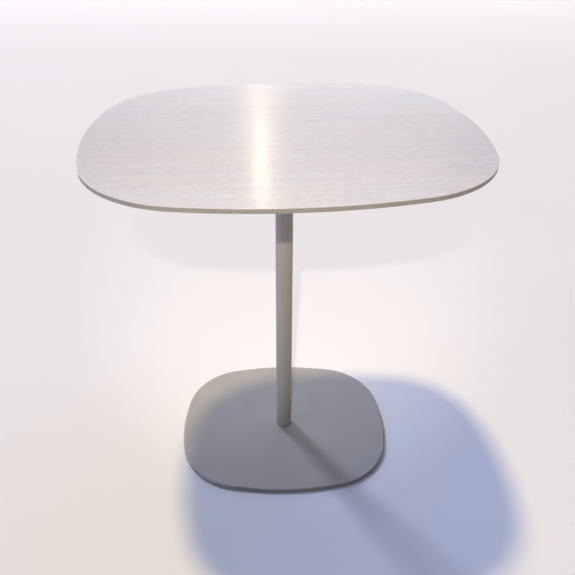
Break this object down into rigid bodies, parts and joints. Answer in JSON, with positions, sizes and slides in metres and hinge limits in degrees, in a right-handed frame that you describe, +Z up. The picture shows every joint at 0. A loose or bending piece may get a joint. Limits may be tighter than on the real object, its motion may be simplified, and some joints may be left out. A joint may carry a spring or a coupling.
{
  "type": "bistro table",
  "caption": "Small table with a soft-cornered rectangular wood-veneered top on a slim round steel column and a flat plate base with levelling glides.",
  "frame": {"origin": "on the floor, on the column's axis", "axes": "+Z up along the column; X along the long side of the top and Y along its short side; the base is turned 3.2 degrees clockwise from the top, seen from above"},
  "size_m": [0.72, 0.63, 0.737],
  "materials": {
    "oak_face": "whitewashed oak veneer under satin lacquer",
    "board_edge": "fibreboard edge lacquered warm grey",
    "backing": "plain backing veneer, sealed",
    "brass_insert": "turned",
    "painted_steel": "fine-textured matt powder coat, warm light grey",
    "zinc_steel": "zinc plated",
    "turned_steel": "turned, bare",
    "gasket_plastic": "matt",
    "pad_nylon": "matt nylon"
  },
  "bodies": {
    "base": {"base_plate": "painted_steel", "foot_gasket": "gasket_plastic"},
    "top": {"column_tube": "painted_steel", "column_weld": "painted_steel", "column_plug": "turned_steel", "base_bolt": "zinc_steel", "mounting_plate": "painted_steel", "plate_washers": "zinc_steel", "plate_screws": "zinc_steel", "threaded_inserts": "brass_insert", "board_core": "board_edge", "backing_veneer": "backing", "face_veneer": "oak_face"},
    "glide_1": {"glide_stud_1": "zinc_steel", "glide_pad_1": "pad_nylon"},
    "glide_2": {"glide_stud_2": "zinc_steel", "glide_pad_2": "pad_nylon"},
    "glide_3": {"glide_stud_3": "zinc_steel", "glide_pad_3": "pad_nylon"},
    "glide_4": {"glide_stud_4": "zinc_steel", "glide_pad_4": "pad_nylon"}
  },
  "joints": [
    {"name": "column_turn", "type": "hinge", "parent": "base", "child": "top", "pos_m": [0, 0, 0.008], "axis": [0, 0, 1], "continuous": true},
    {"name": "glide_1_level", "type": "slide", "parent": "base", "child": "glide_1", "axis": [0, 0, -1], "range_m": [0, 0.0015]},
    {"name": "glide_2_level", "type": "slide", "parent": "base", "child": "glide_2", "axis": [0, 0, -1], "range_m": [0, 0.0015]},
    {"name": "glide_3_level", "type": "slide", "parent": "base", "child": "glide_3", "axis": [0, 0, -1], "range_m": [0, 0.0015]},
    {"name": "glide_4_level", "type": "slide", "parent": "base", "child": "glide_4", "axis": [0, 0, -1], "range_m": [0, 0.0015]}
  ]
}
